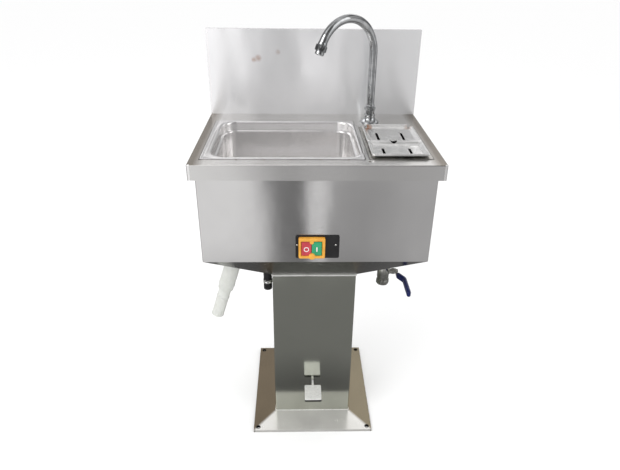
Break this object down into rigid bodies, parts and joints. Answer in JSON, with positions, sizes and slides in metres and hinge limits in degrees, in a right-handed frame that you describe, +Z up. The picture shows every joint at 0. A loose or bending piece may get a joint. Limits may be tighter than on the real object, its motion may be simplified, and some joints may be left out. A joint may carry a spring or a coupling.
{
  "type": "pedestal wash tank",
  "caption": "Stainless pedestal wash tank with a pressed basin, gooseneck tap, slotted soak well, push-button switch, drain valve and foot pedal.",
  "frame": {"origin": "centre of the floor plate's underside, which is also the centre of the whole part seen from above", "axes": "+Z up, +Y towards the backsplash, +X to the user's right"},
  "size_m": [0.6, 0.44, 1.171],
  "materials": {
    "steel_sheet": "brushed and lightly polished stainless sheet",
    "steel_polished": "polished stainless pressing",
    "tap_chrome": "bright chrome plate",
    "brass": "machined brass",
    "fitting_steel": "cast and turned stainless fittings",
    "pedal_steel": "bright folded stainless",
    "spring_steel": "drawn spring wire",
    "screw_steel": "zinc-bright screws",
    "white_plastic": "moulded off-white waste plastic",
    "black_plastic": "moulded black nylon",
    "yellow_plastic": "moulded amber-yellow plastic",
    "red_plastic": "moulded red plastic",
    "green_plastic": "moulded green plastic",
    "blue_sleeve": "dipped navy vinyl",
    "gasket_rubber": "moulded rubber",
    "braided_hose": "wire-braided rubber hose"
  },
  "bodies": {
    "stand": {"access_panel": "steel_sheet", "access_panel_screws": "screw_steel", "backsplash": "steel_sheet", "base_plate": "steel_sheet", "cabinet_shell": "steel_sheet", "column_shell": "steel_sheet", "drain_pipe": "fitting_steel", "foot_valve_body": "brass", "heater_bushings": "brass", "heater_element": "fitting_steel", "hopper": "steel_sheet", "inlet_clamp_ring": "fitting_steel", "inlet_hose": "braided_hose", "inlet_nipple": "black_plastic", "inlet_tail_nut": "black_plastic", "pedal_bracket": "fitting_steel", "pedal_pivot_pin": "fitting_steel", "pedal_spring": "spring_steel", "service_cover": "steel_sheet", "service_cover_screws": "screw_steel", "sink_bowl": "steel_sheet", "sink_drain_body": "steel_polished", "sink_drain_gasket": "gasket_rubber", "sink_drain_nut": "white_plastic", "start_spring": "spring_steel", "stop_spring": "spring_steel", "switch_bezel": "yellow_plastic", "switch_body": "black_plastic", "switch_plate": "black_plastic", "switch_screws": "screw_steel", "tap_backnut": "brass", "tap_base": "tap_chrome", "tap_collar": "tap_chrome", "tap_shank": "brass", "tap_supply_hose": "braided_hose", "thermostat": "black_plastic", "thermostat_probe": "fitting_steel", "valve_body": "fitting_steel", "valve_packing_nut": "fitting_steel", "waste_hose": "white_plastic", "waste_pipe": "white_plastic", "waste_socket": "white_plastic", "waste_union_nut": "white_plastic", "well_outlet": "fitting_steel", "well_tank": "steel_sheet", "worktop": "steel_sheet"},
    "spout": {"tap_spout": "tap_chrome", "tap_aerator": "tap_chrome"},
    "valve_handle": {"valve_ball": "fitting_steel", "valve_lever": "fitting_steel", "valve_lever_nut": "fitting_steel", "lever_sleeve": "blue_sleeve"},
    "pedal": {"pedal_arm": "pedal_steel", "pedal_plate": "pedal_steel"},
    "plunger": {"foot_valve_plunger": "fitting_steel"},
    "stop_push": {"stop_button": "red_plastic"},
    "start_push": {"start_button": "green_plastic"},
    "rear_rack": {"well_rack_rear": "steel_sheet"},
    "front_rack": {"well_rack_front": "steel_sheet"},
    "strainer": {"sink_strainer": "steel_polished"}
  },
  "joints": [
    {"name": "spout_swivel", "type": "hinge", "parent": "stand", "child": "spout", "pos_m": [0.158, 0.127, 0.92], "axis": [0, 0, 1], "range_deg": [-45, 120]},
    {"name": "drain_valve_turn", "type": "hinge", "parent": "stand", "child": "valve_handle", "pos_m": [0.201, -0.053, 0.493], "axis": [1, 0, 0], "range_deg": [0, 90]},
    {"name": "pedal_press", "type": "hinge", "parent": "stand", "child": "pedal", "pos_m": [0, -0.06, 0.126], "axis": [1, 0, 0], "range_deg": [0, 8], "stiffness_Nm_per_rad": 6, "springref_deg": -14.32, "deforming": ["pedal_spring"]},
    {"name": "plunger_lift", "type": "slide", "parent": "stand", "child": "plunger", "axis": [0, 0, 1], "range_m": [0, 0.0065]},
    {"name": "stop_press", "type": "slide", "parent": "stand", "child": "stop_push", "axis": [0, 1, 0], "range_m": [0, 0.0035], "stiffness_N_per_m": 400, "springref_m": -0.004, "deforming": ["stop_spring"]},
    {"name": "start_press", "type": "slide", "parent": "stand", "child": "start_push", "axis": [0, 1, 0], "range_m": [0, 0.0035], "stiffness_N_per_m": 400, "springref_m": -0.004, "deforming": ["start_spring"]},
    {"name": "rear_rack_lift", "type": "slide", "parent": "stand", "child": "rear_rack", "axis": [0, 0, 1], "range_m": [0, 0.15]},
    {"name": "front_rack_lift", "type": "slide", "parent": "stand", "child": "front_rack", "axis": [0, 0, 1], "range_m": [0, 0.15]},
    {"name": "strainer_lift", "type": "slide", "parent": "stand", "child": "strainer", "axis": [0, 0, 1], "range_m": [0, 0.17]}
  ],
  "couplings": [
    {"joint": "plunger_lift", "follows": "pedal_press", "m_per_rad": 0.045}
  ]
}
